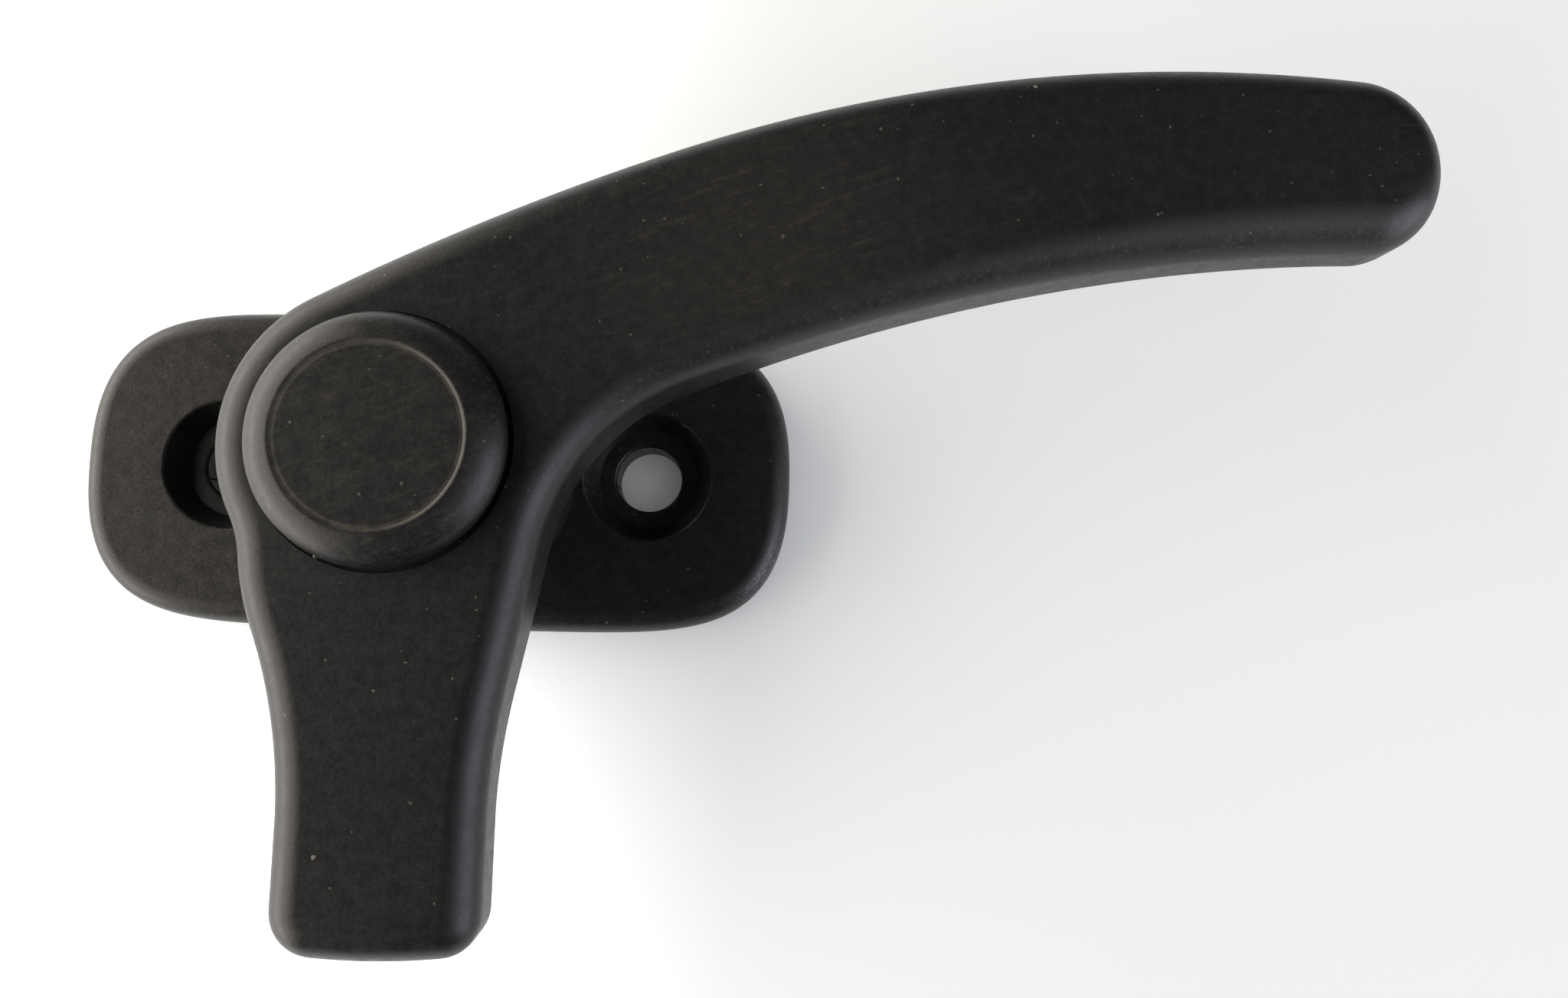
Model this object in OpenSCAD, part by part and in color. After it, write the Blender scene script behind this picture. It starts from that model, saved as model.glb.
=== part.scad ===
// Window catch: an oblong base plate that is screwed to the sash, and a one-piece lever
// with a hub, an arched arm and a flat nose that swings behind a keeper on the frame.
// The mounting face is z = 0, the pivot is the z axis, and the plate's length runs along x.

/* [Base plate] */
// Length of the plate along its screw line
plate_l = 57.2; // [54:0.2:70]
// Width of the plate at its middle
plate_w = 25.8; // [25:0.2:34]
// Thickness from the mounting face to the plate's top
plate_t = 6.5; // [5.8:0.1:9]
// Squareness of the ends, as the power of a superellipse along x
plate_end_power = 6.3; // [4:0.1:10]
// Squareness of the long sides, as the power along y
plate_side_power = 2.5; // [2.2:0.1:6]
// Round on the plate's top edge
plate_edge_r = 1.8; // [0.6:0.1:2.4]
// Width of the rim round the hollow back
plate_rim = 2; // [1.4:0.1:2.6]
// Skin left over the hollow back
plate_skin = 2.2; // [1.6:0.1:3]
// Thickness of the ribs in the hollow back
rib_t = 1.4; // [1:0.1:2]

/* [Screw holes] */
// Distance between the two screw holes
hole_spacing = 33.7; // [33:0.1:37]
// Diameter of each screw hole
hole_d = 5.4; // [4:0.1:6]
// Diameter of the tapered recess for the screw head, at the plate's top
head_d = 10.3; // [8:0.1:11]
// Diameter of that recess at its floor
head_floor_d = 8.2; // [7:0.1:10]
// Depth of the recess
head_depth = 2.2; // [1.6:0.1:3.4]
// Wall round each screw recess, in the hollow back
hole_wall = 1.5; // [1:0.1:2]

/* [Lever] */
// Height of the lever's face above the mounting face
face_h = 23.3; // [22.8:0.1:28]
// Diameter of the hub
hub_d = 23.4; // [22.4:0.1:26]
// Step in from the hub to the round boss under it
boss_step = 0.6; // [0.2:0.1:1]
// Thickness of the arm
arm_t = 7.6; // [6:0.1:8]
// Thickness of the nose
nose_t = 5.8; // [4:0.1:7.6]
// Round on the upper edge of hub and nose
lever_edge_r = 2.5; // [1:0.1:2.6]
// Round on the front of the arm's tip, where the thumb lies
tip_edge_r = 3.2; // [2:0.1:4]
// Round on the lower edge of hub and nose
under_edge_r = 0.4; // [0.2:0.05:0.5]
// Round on the lower edge of the arm's tip
tip_under_r = 2; // [0.4:0.1:3]

/* [Arm outline] */
// Direction in which the arm's back leaves the hub, in degrees
arm_leave_angle = 119.2; // [115:0.2:124]
// Radius of the arm's back near the hub
arm_root_r = 193; // [160:1:230]
// Direction at which the arm's back turns to its tighter radius, in degrees
arm_bend_angle = 111.2; // [108:0.2:114]
// Radius of the arm's back towards the tip
arm_back_r = 117; // [105:1:130]
// Direction at which the arm's back ends in the tip, in degrees
arm_end_angle = 86; // [84:0.1:92]
// Radius of the arm's hollow front
arm_front_r = 140.5; // [120:0.5:160]
// Width of the arm at the bend
arm_root_w = 15.9; // [14:0.1:17]
// Width of the arm at the tip
arm_tip_w = 12.9; // [11.8:0.1:13.3]
// Radius of the tip on the arm's back
tip_back_r = 6.8; // [6:0.1:8]
// Radius of the tip on the arm's front
tip_front_r = 5.6; // [4.2:0.1:5.8]

/* [Nose outline] */
// Reach of the nose from the pivot
nose_l = 34.6; // [31:0.1:40]
// Width of the nose's straight blade
nose_w = 14; // [11:0.1:14.5]
// Sideways shift of the blade from the pivot
nose_shift = 0.9; // [-1:0.05:1.5]
// Length of the blade's straight sides, with the corner
blade_l = 8.8; // [7:0.1:12]
// Radius of the blade's slightly bowed end
nose_end_r = 45; // [36:1:70]
// Corner radius of the blade on the back side
nose_back_r = 3.2; // [2.5:0.1:4]
// Corner radius of the blade on the arm's side
nose_front_r = 2.7; // [2.7:0.1:4]
// Waist radius on the back side
waist_back_r = 36; // [30:1:45]
// Lean of the waist on the back side, in degrees
waist_back_angle = 21; // [16:0.5:23]
// Shoulder radius between waist and hub
shoulder_r = 20; // [15:1:26]
// Hollow radius between shoulder and hub
hub_hollow_r = 8; // [6:0.5:12]
// Waist radius on the arm's side
waist_front_r = 50; // [40:1:60]
// Lean of the waist on the arm's side, in degrees
waist_front_angle = 10.5; // [7:0.5:12]
// Hollow radius in the corner between nose and arm
corner_r = 16; // [12:0.5:20]

/* [Pivot] */
// Diameter of the pivot bolt
bolt_d = 6; // [5:0.1:6.4]
// Width across the flats of the bolt's head and of the nut
hex_af = 10; // [9:0.1:10.4]
// Height of the bolt's head
bolt_head_h = 3.6; // [2.6:0.1:4]
// Depth of the bolt's head below the mounting face
bolt_sink = 0.3; // [0.1:0.1:0.6]
// Wall round the hex pocket, in the hollow back
pocket_wall = 1.8; // [1.2:0.1:2.4]
// Diameter of the sleeve that the lever turns on
sleeve_d = 9; // [8.2:0.1:10]
// Diameter of the thrust washer under the hub
thrust_d = 14.6; // [12.6:0.1:15]
// Thickness of the thrust washer
thrust_t = 0.8; // [0.6:0.1:1.2]
// Diameter of the friction washer on the ledge in the hub
friction_d = 13; // [12:0.1:14.4]
// Thickness of the friction washer
friction_t = 1; // [0.6:0.1:1.4]
// Diameter of the disc spring
spring_d = 12.5; // [11:0.1:13.6]
// Thickness of the disc spring
spring_t = 0.6; // [0.4:0.05:0.8]
// Cone height of the disc spring, as fitted
spring_cone = 0.35; // [0.2:0.05:0.5]
// Diameter of the washer under the nut
washer_d = 12; // [10.8:0.1:13]
// Thickness of the washer under the nut
washer_t = 1; // [0.6:0.1:1.2]
// Height of the nut's hex
nut_hex_h = 4.2; // [3:0.1:4.4]
// Height of the nut's round collar above the hex
nut_collar_h = 1.6; // [1.2:0.1:1.8]
// Wall of the nut's round collar, round the locking ring
nut_collar_wall = 0.4; // [0.3:0.05:0.6]
// Wall of the locking ring in the nut's collar
insert_wall = 1; // [0.6:0.1:1.1]
// Lip of the nut's collar above the locking ring
insert_lip = 0.6; // [0.4:0.1:0.8]
// Length of bolt that stands out of the nut
bolt_out = 0.5; // [0.2:0.1:0.7]

/* [Cap] */
// Diameter of the cap
cap_d = 17.3; // [16.4:0.1:18.4]
// Height of the cap's upright side above the lever's face
cap_side_h = 0.95; // [0.5:0.05:1.5]
// Height of the cap's domed rim above its side
cap_dome_h = 2; // [1.5:0.1:2.6]
// Diameter of the flat disc in the cap
cap_disc_d = 12.5; // [11:0.1:13.2]
// Depth of the disc below the rim
cap_disc_sink = 0.1; // [0.1:0.05:0.4]
// Width of the rim's flat crest outside the disc
cap_crest = 0.2; // [0.2:0.05:0.6]
// Room between the bolt's end and the cap
cap_room = 0.5; // [0.3:0.1:1]
// Room between the nut's corners and the cap's push-in skirt
nut_room = 0.6; // [0.3:0.1:0.8]
// Wall of the skirt
skirt_wall = 1.2; // [0.9:0.1:1.4]
// Depth of the skirt below the lever's face
skirt_depth = 4.6; // [3:0.1:5]
// Height of the snap bead on the skirt
bead_h = 0.2; // [0.1:0.05:0.3]
// Depth of the snap bead below the lever's face
bead_depth = 3; // [2:0.1:3.4]
// Thickness of the cap's top
cap_top_t = 1.3; // [1:0.1:1.5]

/* [Motion and fits] */
// Angle through which the lever opens, in degrees
open_angle = 90; // [60:1:110]
// Width of the stop lug on the plate, in degrees
lug_angle = 20; // [14:1:30]
// Spare angle between lug and stop at each end, in degrees
stop_spare_angle = 2; // [1:0.5:4]
// Radial width of the stop lug
lug_w = 1.2; // [0.8:0.1:1.3]
// Height of the stop lug above the plate
lug_h = 1.5; // [1:0.1:2]
// Radial running clearance between hub and sleeve
run_clear = 0.05; // [0.03:0.01:0.08]
// Radial clearance of pieces that are pushed together
push_clear = 0.05; // [0.03:0.01:0.1]
// Radial clearance of washers and of the hex pocket
loose_clear = 0.15; // [0.1:0.05:0.25]
// Free gap between hub and plate, and round the stop lug
free_gap = 0.3; // [0.2:0.05:0.4]

/* [Hidden] */
$fn = 96;
// How far cuts run past the faces that they open
over = 1;
black = "#2b2a29";
steel = "#b9bcc0";
nylon = "#e9e4d6";

// Base plate
plate_points = 96;
edge_steps = 5;
under_steps = 3;
hollow_h = plate_t - plate_skin;
rim_end_y = plate_w / 2 - plate_rim / 2;
head_floor_z = plate_t - head_depth;
hole_boss_r = head_d / 2 + hole_wall;
pocket_h = bolt_sink + bolt_head_h;
pocket_af = hex_af + 2 * loose_clear;
pocket_boss_r = pocket_af / sqrt(3) + pocket_wall;
rib_h = hollow_h + plate_skin / 2;

// Cap
dome_steps = 12;
cap_top_z = face_h + cap_side_h + cap_dome_h;
cap_disc_z = cap_top_z - cap_disc_sink;
cap_ceiling_z = cap_disc_z - cap_top_t;
bead_z = face_h - bead_depth;
bead_slope = 2 * bead_h;

// Heights of the pivot stack, from the cap down to the hub's ledge and from the plate up
bolt_top_z = cap_ceiling_z - cap_room;
nut_z = bolt_top_z - bolt_out - nut_collar_h - nut_hex_h;
washer_z = nut_z - washer_t;
spring_h = spring_t + spring_cone;
spring_z = washer_z - spring_h;
ledge_z = spring_z - friction_t;
sleeve_top_z = ledge_z - free_gap;
hub_under_z = plate_t + free_gap;
seat_z = plate_t + thrust_t;

// Radii of the pivot stack
bolt_r = bolt_d / 2;
bolt_bore_r = bolt_r + push_clear;
washer_bore_r = bolt_r + loose_clear;
sleeve_r = sleeve_d / 2;
hub_r = hub_d / 2;
hub_bore_r = sleeve_r + run_clear;
boss_r = hub_r - boss_step;
nut_corner_r = hex_af / sqrt(3);
skirt_inner_r = nut_corner_r + nut_room;
skirt_r = skirt_inner_r + skirt_wall;
well_r = skirt_r + push_clear;
thrust_recess_r = thrust_d / 2 + free_gap;
lug_mid_r = (thrust_recess_r + boss_r) / 2;
lug_track_w = lug_w + 2 * free_gap;
hex_chamfer_h = (nut_corner_r - hex_af / 2) * tan(30);
insert_r = bolt_r + insert_wall;
insert_h = nut_collar_h - insert_lip;
nut_collar_r = insert_r + nut_collar_wall;

// Plane geometry of tangent arcs
function unit(a) = [cos(a), sin(a)];
function direction(v) = atan2(v[1], v[0]);
function turned(a) = a < 0 ? a + 360 : a;
function arc(c, r, a0, a1, n) = [for (i = [0 : n - 1]) c + r * unit(a0 + (a1 - a0) * i / n)];
function arc_inside(c, r, a0, a1, n) = [for (i = [1 : n]) c + r * unit(a0 + (a1 - a0) * i / (n + 1))];
function line(p, q, n) = [for (i = [0 : n - 1]) p + (q - p) * i / n];
function backwards(v) = [for (i = [len(v) - 1 : -1 : 0]) v[i]];
function smooth(t) = t * t * (3 - 2 * t);
function fade(a, b, n) = [for (i = [0 : n - 1]) a + (b - a) * smooth(i / n)];
function same(a, n) = [for (i = [0 : n - 1]) a];

// One of the two crossings of two circles, on the left (side 1) or right (side -1) of c1 to c2
function crossing(c1, r1, c2, r2, side) =
    let (d = norm(c2 - c1),
         along = (d * d + r1 * r1 - r2 * r2) / (2 * d),
         across = sqrt(r1 * r1 - along * along),
         u = (c2 - c1) / d)
    c1 + along * u + side * across * [-u[1], u[0]];

// Centre of a round corner of radius r at x, tangent to the bowed end of the nose
function nose_corner(x, r) =
    [x, nose_end_c[1] - sqrt(pow(nose_end_r - r, 2) - pow(x - nose_end_c[0], 2))];

// Superellipse of the plate, drawn in by inset
function plate_outline(inset) =
    let (a = plate_l / 2 - inset, b = plate_w / 2 - inset)
    [for (i = [0 : plate_points - 1])
        let (t = 360 * i / plate_points)
        [a * sign(cos(t)) * pow(abs(cos(t)), 2 / plate_end_power),
         b * sign(sin(t)) * pow(abs(sin(t)), 2 / plate_side_power)]];

// Lever outline, as two chains of tangent arcs from the nose's end to the arm's tip
hub_c = [0, 0];
nose_end_y = -nose_l;
blade_top_y = nose_end_y + blade_l;
nose_back_x = nose_shift - nose_w / 2;
nose_front_x = nose_shift + nose_w / 2;
nose_end_c = [nose_shift, nose_end_y + nose_end_r];
nose_back_c = nose_corner(nose_back_x + nose_back_r, nose_back_r);
nose_front_c = nose_corner(nose_front_x - nose_front_r, nose_front_r);
nose_back_angle = turned(direction(nose_back_c - nose_end_c));
nose_front_angle = turned(direction(nose_front_c - nose_end_c));

// Back of the lever
waist_back_c = [nose_back_x - waist_back_r, blade_top_y];
shoulder_c = waist_back_c + (waist_back_r + shoulder_r) * unit(waist_back_angle);
hub_hollow_c = crossing(hub_c, hub_r + hub_hollow_r, shoulder_c, shoulder_r + hub_hollow_r, -1);
shoulder_end_angle = turned(direction(hub_hollow_c - shoulder_c));
hub_start_angle = turned(direction(hub_hollow_c));
root_c = -(arm_root_r - hub_r) * unit(arm_leave_angle);
back_c = root_c + (arm_root_r - arm_back_r) * unit(arm_bend_angle);

// Front of the lever
front_c = crossing(back_c + (arm_back_r - arm_root_w) * unit(arm_bend_angle), arm_front_r,
                   back_c + (arm_back_r - arm_tip_w) * unit(arm_end_angle), arm_front_r, -1);
waist_front_c = [nose_front_x + waist_front_r, blade_top_y];
flank_angle = 90 - waist_front_angle;
flank_start = waist_front_c + waist_front_r * unit(180 - waist_front_angle);
corner_from = flank_start + corner_r * unit(-waist_front_angle);
corner_back = (corner_from - front_c) * unit(flank_angle);
flank_l = -corner_back + sqrt(pow(corner_back, 2) - pow(norm(corner_from - front_c), 2)
                              + pow(arm_front_r - corner_r, 2));
corner_c = corner_from + flank_l * unit(flank_angle);
corner_end_angle = direction(corner_c - front_c);

// Tip of the arm
tip_back_c = back_c + (arm_back_r - tip_back_r) * unit(arm_end_angle);
tip_front_c = crossing(tip_back_c, tip_back_r - tip_front_r, front_c, arm_front_r + tip_front_r, 1);
tip_angle = direction(tip_front_c - tip_back_c);
front_end_angle = direction(tip_front_c - front_c);

// Points in each stretch: the two chains have the same number in each pair of stretches
n_end = 3;
n_corner = 6;
n_blade = 4;
n_waist_back = 7;
n_shoulder = 5;
n_hollow = 4;
n_waist = n_waist_back + n_shoulder + n_hollow;
n_waist_front = 8;
n_hub_arc = 14;
n_root = 8;
n_hub = n_hub_arc + n_root;
n_arm = 20;
n_tip = 9;
n_nose = n_end + n_corner + n_blade;
n_chain = n_nose + n_waist + n_hub + n_arm + n_tip;

back_chain = concat(
    arc_inside(nose_end_c, nose_end_r, 270, nose_back_angle, n_end),
    arc(nose_back_c, nose_back_r, nose_back_angle, 180, n_corner),
    line([nose_back_x, nose_back_c[1]], [nose_back_x, blade_top_y], n_blade),
    arc(waist_back_c, waist_back_r, 0, waist_back_angle, n_waist_back),
    arc(shoulder_c, shoulder_r, 180 + waist_back_angle, shoulder_end_angle, n_shoulder),
    arc(hub_hollow_c, hub_hollow_r, shoulder_end_angle - 180, hub_start_angle - 180, n_hollow),
    arc(hub_c, hub_r, hub_start_angle, arm_leave_angle, n_hub_arc),
    arc(root_c, arm_root_r, arm_leave_angle, arm_bend_angle, n_root),
    arc(back_c, arm_back_r, arm_bend_angle, arm_end_angle, n_arm),
    arc(tip_back_c, tip_back_r, arm_end_angle, tip_angle, n_tip));

front_chain = concat(
    arc_inside(nose_end_c, nose_end_r, 270, nose_front_angle, n_end),
    arc(nose_front_c, nose_front_r, nose_front_angle, 360, n_corner),
    line([nose_front_x, nose_front_c[1]], [nose_front_x, blade_top_y], n_blade),
    arc(waist_front_c, waist_front_r, 180, 180 - waist_front_angle, n_waist_front),
    line(flank_start, flank_start + flank_l * unit(flank_angle), n_waist - n_waist_front),
    arc(corner_c, corner_r, 180 - waist_front_angle, corner_end_angle, n_hub),
    arc(front_c, arm_front_r, corner_end_angle, front_end_angle, n_arm),
    arc(tip_front_c, tip_front_r, front_end_angle + 180, tip_angle + 360, n_tip));

// Thickness and lower round along both chains, and the round of the upper edge along each
chain_t =concat(same(nose_t, n_nose), fade(nose_t, arm_t, n_waist), same(arm_t, n_hub + n_arm + n_tip));
chain_under = concat(same(under_edge_r, n_nose + n_waist + n_hub),
                     fade(under_edge_r, tip_under_r, n_arm), same(tip_under_r, n_tip));
back_edge = concat(same(lever_edge_r, n_chain - n_tip), fade(lever_edge_r, tip_edge_r, n_tip));
front_edge = concat(same(lever_edge_r, n_nose + n_waist + n_hub),
                    fade(lever_edge_r, tip_edge_r, n_arm), same(tip_edge_r, n_tip));

// The lever's body is a loft of that outline, drawn in along its normals at each rounded edge
module lever_body() {
    loop = concat(back_chain, backwards(front_chain));
    thick = concat(chain_t, backwards(chain_t));
    under = concat(chain_under, backwards(chain_under));
    edge = concat(back_edge, backwards(front_edge));
    n = len(loop);
    inward = [for (i = [0 : n - 1])
        let (t = loop[(i + 1) % n] - loop[(i + n - 1) % n])
        [t[1], -t[0]] / norm(t)];
    under_angles = [for (k = [0 : under_steps]) 90 * k / under_steps];
    top_angles = [for (k = [0 : edge_steps]) 90 * k / edge_steps];
    points = concat(
        [for (a = under_angles, i = [0 : n - 1])
            let (p = loop[i] + under[i] * (1 - sin(a)) * inward[i])
            [p[0], p[1], face_h - thick[i] + under[i] * (1 - cos(a))]],
        [for (a = top_angles, i = [0 : n - 1])
            let (p = loop[i] + edge[i] * (1 - cos(a)) * inward[i])
            [p[0], p[1], face_h - edge[i] * (1 - sin(a))]]);
    rings = len(under_angles) + len(top_angles);
    top = (rings - 1) * n;
    sides = [for (k = [0 : rings - 2], i = [0 : n - 1])
        let (j = (i + 1) % n, a = k * n, b = (k + 1) * n)
        each [[a + i, b + j, b + i], [a + i, a + j, b + j]]];
    lids = [for (i = [0 : n_chain - 2])
        let (j = i + 1, p = n - 1 - i, q = n - 2 - i)
        each [[i, q, j], [i, p, q], [top + i, top + j, top + q], [top + i, top + q, top + p]]];
    polyhedron(points, concat(sides, lids));
}

// Ring sector about the pivot, for the stop lug and its track
module sector(r, w, h, a0, a1) {
    rotate([0, 0, a0])
        rotate_extrude(angle = a1 - a0)
            translate([r - w / 2, 0])
                square([w, h]);
}

module at_screw_holes() {
    for (side = [-1, 1])
        translate([side * hole_spacing / 2, 0, 0])
            children();
}

module washer(d, bore_r, t) {
    difference() {
        cylinder(d = d, h = t);
        translate([0, 0, -over])
            cylinder(r = bore_r, h = t + 2 * over);
    }
}

// Plate with a hollow, ribbed back
module base_plate() {
    color(black)
    difference() {
        union() {
            difference() {
                hull() {
                    for (k = [0 : edge_steps]) {
                        a = 90 * k / edge_steps;
                        linear_extrude(plate_t - plate_edge_r * (1 - sin(a)))
                            polygon(plate_outline(plate_edge_r * (1 - cos(a))));
                    }
                }
                translate([0, 0, -over])
                    linear_extrude(hollow_h + over)
                        polygon(plate_outline(plate_rim));
            }
            at_screw_holes()
                cylinder(r = hole_boss_r, h = rib_h);
            cylinder(r = pocket_boss_r, h = rib_h);
            translate([-hole_spacing / 2, -rib_t / 2, 0])
                cube([hole_spacing, rib_t, rib_h]);
            for (x = [-hole_spacing / 2, 0, hole_spacing / 2])
                translate([x - rib_t / 2, -rim_end_y, 0])
                    cube([rib_t, 2 * rim_end_y, rib_h]);
            translate([0, 0, rib_h])
                sector(lug_mid_r, lug_w, plate_t + lug_h - rib_h, -lug_angle / 2, lug_angle / 2);
        }
        at_screw_holes() {
            translate([0, 0, -over])
                cylinder(d = hole_d, h = plate_t + 2 * over);
            translate([0, 0, head_floor_z])
                cylinder(d1 = head_floor_d, d2 = head_d, h = head_depth);
        }
        translate([0, 0, -over])
            cylinder(r = bolt_bore_r, h = plate_t + 2 * over);
        translate([0, 0, -over])
            cylinder(d = pocket_af / cos(30), h = pocket_h + over, $fn = 6);
    }
}

// Lever with its bore, the well for the pivot stack and the track of the stop lug
module lever() {
    color(black)
    difference() {
        union() {
            lever_body();
            translate([0, 0, hub_under_z])
                cylinder(r = boss_r, h = face_h - nose_t - hub_under_z);
        }
        translate([0, 0, hub_under_z - over])
            cylinder(r = hub_bore_r, h = ledge_z - hub_under_z + 2 * over);
        translate([0, 0, ledge_z])
            cylinder(r = well_r, h = face_h - ledge_z + over);
        translate([0, 0, hub_under_z - over])
            cylinder(r = thrust_recess_r, h = seat_z - hub_under_z + over);
        translate([0, 0, hub_under_z - over])
            sector(lug_mid_r, lug_track_w, lug_h + over,
                   -lug_angle / 2 - stop_spare_angle - open_angle, lug_angle / 2 + stop_spare_angle);
        translate([0, 0, bead_z])
            rotate_extrude()
                polygon([[well_r - over, -bead_slope], [well_r, -bead_slope], [well_r + bead_h, 0],
                         [well_r, bead_slope], [well_r - over, bead_slope]]);
    }
}

// Push-in cap with a domed rim round a sunk flat disc
module pivot_cap() {
    crest_r = cap_disc_d / 2 + cap_crest;
    dome_w = cap_d / 2 - crest_r;
    dome_z = face_h + cap_side_h;
    skirt_z = face_h - skirt_depth;
    dome = [for (k = [0 : dome_steps])
        let (a = 90 * k / dome_steps)
        [crest_r + dome_w * cos(a), dome_z + cap_dome_h * sin(a)]];
    color(black)
    rotate_extrude()
        polygon(concat(
            [[0, cap_ceiling_z], [skirt_inner_r, cap_ceiling_z], [skirt_inner_r, skirt_z],
             [skirt_r - bead_slope, skirt_z], [skirt_r, skirt_z + bead_slope],
             [skirt_r, bead_z - bead_slope], [skirt_r + bead_h, bead_z], [skirt_r, bead_z + bead_slope],
             [skirt_r, face_h], [cap_d / 2, face_h]],
            dome,
            [[cap_disc_d / 2, cap_top_z], [cap_disc_d / 2 - cap_disc_sink, cap_disc_z], [0, cap_disc_z]]));
}

// Hex prism with its corners chamfered at the lower end, and at the upper end too if both is true
module hex_block(h, both) {
    intersection() {
        cylinder(r = nut_corner_r, h = h, $fn = 6);
        rotate_extrude()
            polygon(concat([[0, 0], [hex_af / 2, 0], [nut_corner_r, hex_chamfer_h]],
                           both ? [[nut_corner_r, h - hex_chamfer_h], [hex_af / 2, h]]
                                : [[nut_corner_r, h]],
                           [[0, h]]));
    }
}

// Hex bolt from the back of the plate
module pivot_bolt() {
    chamfer = bolt_out;
    color(steel)
    union() {
        translate([0, 0, bolt_sink])
            hex_block(bolt_head_h, false);
        translate([0, 0, bolt_sink])
            cylinder(r = bolt_r, h = bolt_top_z - chamfer - bolt_sink);
        translate([0, 0, bolt_top_z - chamfer])
            cylinder(r1 = bolt_r, r2 = bolt_r - chamfer, h = chamfer);
    }
}

// Tube that the hub turns on
module pivot_sleeve() {
    color(steel)
    translate([0, 0, plate_t])
        washer(sleeve_d, bolt_bore_r, sleeve_top_z - plate_t);
}

module thrust_washer() {
    color(nylon)
    translate([0, 0, plate_t])
        washer(thrust_d, sleeve_r + push_clear, thrust_t);
}

module friction_washer() {
    color(nylon)
    translate([0, 0, ledge_z])
        washer(friction_d, washer_bore_r, friction_t);
}

// Conical spring washer, its outer edge down on the friction washer
module disc_spring() {
    outer_r = spring_d / 2;
    color(steel)
    translate([0, 0, spring_z])
        rotate_extrude()
            polygon([[outer_r, 0], [outer_r, spring_t], [washer_bore_r, spring_h],
                     [washer_bore_r, spring_cone]]);
}

module plain_washer() {
    color(steel)
    translate([0, 0, washer_z])
        washer(washer_d, washer_bore_r, washer_t);
}

// Hex nut with chamfered corners and a round collar that holds the locking ring
module lock_nut() {
    color(steel)
    translate([0, 0, nut_z])
        difference() {
            union() {
                hex_block(nut_hex_h, true);
                cylinder(r = nut_collar_r, h = nut_hex_h + nut_collar_h);
            }
            translate([0, 0, -over])
                cylinder(r = bolt_bore_r, h = nut_hex_h + nut_collar_h + 2 * over);
            translate([0, 0, nut_hex_h])
                cylinder(r = insert_r, h = insert_h);
        }
}

module lock_nut_insert() {
    color("#3f6fb0")
    translate([0, 0, nut_z + nut_hex_h])
        washer(2 * insert_r, bolt_bore_r, insert_h);
}

base_plate();
lever();
pivot_cap();
pivot_bolt();
pivot_sleeve();
thrust_washer();
friction_washer();
disc_spring();
plain_washer();
lock_nut();
lock_nut_insert();
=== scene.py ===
"""Looks of the window catch: fine moulded meshes, materials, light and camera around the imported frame."""
import math

import bmesh
import bpy
from mathutils import Euler, Matrix, Vector


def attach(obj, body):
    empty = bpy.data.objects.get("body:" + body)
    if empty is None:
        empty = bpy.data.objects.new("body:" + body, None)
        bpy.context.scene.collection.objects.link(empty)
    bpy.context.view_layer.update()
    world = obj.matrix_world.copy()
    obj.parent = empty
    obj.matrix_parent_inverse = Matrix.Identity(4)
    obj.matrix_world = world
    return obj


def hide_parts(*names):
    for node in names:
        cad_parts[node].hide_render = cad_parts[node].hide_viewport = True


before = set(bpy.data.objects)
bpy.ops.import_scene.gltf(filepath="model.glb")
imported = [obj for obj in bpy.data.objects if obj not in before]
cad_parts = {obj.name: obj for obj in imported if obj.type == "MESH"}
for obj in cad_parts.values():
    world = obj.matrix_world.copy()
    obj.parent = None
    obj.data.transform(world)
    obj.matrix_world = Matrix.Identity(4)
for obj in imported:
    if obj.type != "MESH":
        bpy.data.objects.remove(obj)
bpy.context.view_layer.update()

MM = 0.001

# Sizes in millimetres and angles in degrees, the same as the solids have
PLATE_L, PLATE_W, PLATE_T = 57.2, 25.8, 6.5
PLATE_END_POWER, PLATE_SIDE_POWER = 6.3, 2.5
PLATE_EDGE_R, PLATE_RIM, PLATE_SKIN, RIB_T = 1.8, 2.0, 2.2, 1.4
HOLE_SPACING, HOLE_D, HEAD_D, HEAD_FLOOR_D, HEAD_DEPTH, HOLE_WALL = 33.7, 5.4, 10.3, 8.2, 2.2, 1.5
FACE_H, HUB_D, BOSS_STEP, ARM_T, NOSE_T = 23.3, 23.4, 0.6, 7.6, 5.8
LEVER_EDGE_R, TIP_EDGE_R, UNDER_EDGE_R, TIP_UNDER_R = 2.5, 3.2, 0.4, 2.0
ARM_LEAVE, ARM_ROOT_R, ARM_BEND, ARM_BACK_R, ARM_END = 119.2, 193, 111.2, 117, 86
ARM_FRONT_R, ARM_ROOT_W, ARM_TIP_W, TIP_BACK_R, TIP_FRONT_R = 140.5, 15.9, 12.9, 6.8, 5.6
NOSE_L, NOSE_W, NOSE_SHIFT, BLADE_L, NOSE_END_R = 34.6, 14, 0.9, 8.8, 45
NOSE_BACK_R, NOSE_FRONT_R = 3.2, 2.7
WAIST_BACK_R, WAIST_BACK, SHOULDER_R, HUB_HOLLOW_R = 36, 21, 20, 8
WAIST_FRONT_R, WAIST_FRONT, CORNER_R = 50, 10.5, 16
HEX_AF, BOLT_HEAD_H, BOLT_SINK, POCKET_WALL = 10, 3.6, 0.3, 1.8
CAP_D, CAP_SIDE_H, CAP_DOME_H, CAP_DISC_D, CAP_DISC_SINK, CAP_CREST = 17.3, 0.95, 2.0, 12.5, 0.1, 0.2
SKIRT_INNER_R, SKIRT_WALL, SKIRT_DEPTH, BEAD_H, BEAD_DEPTH, CAP_TOP_T = 6.374, 1.2, 4.6, 0.2, 3.0, 1.3
OPEN_ANGLE, LUG_ANGLE, STOP_SPARE, LUG_W, LUG_H = 90, 20, 2, 1.2, 1.5
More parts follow.
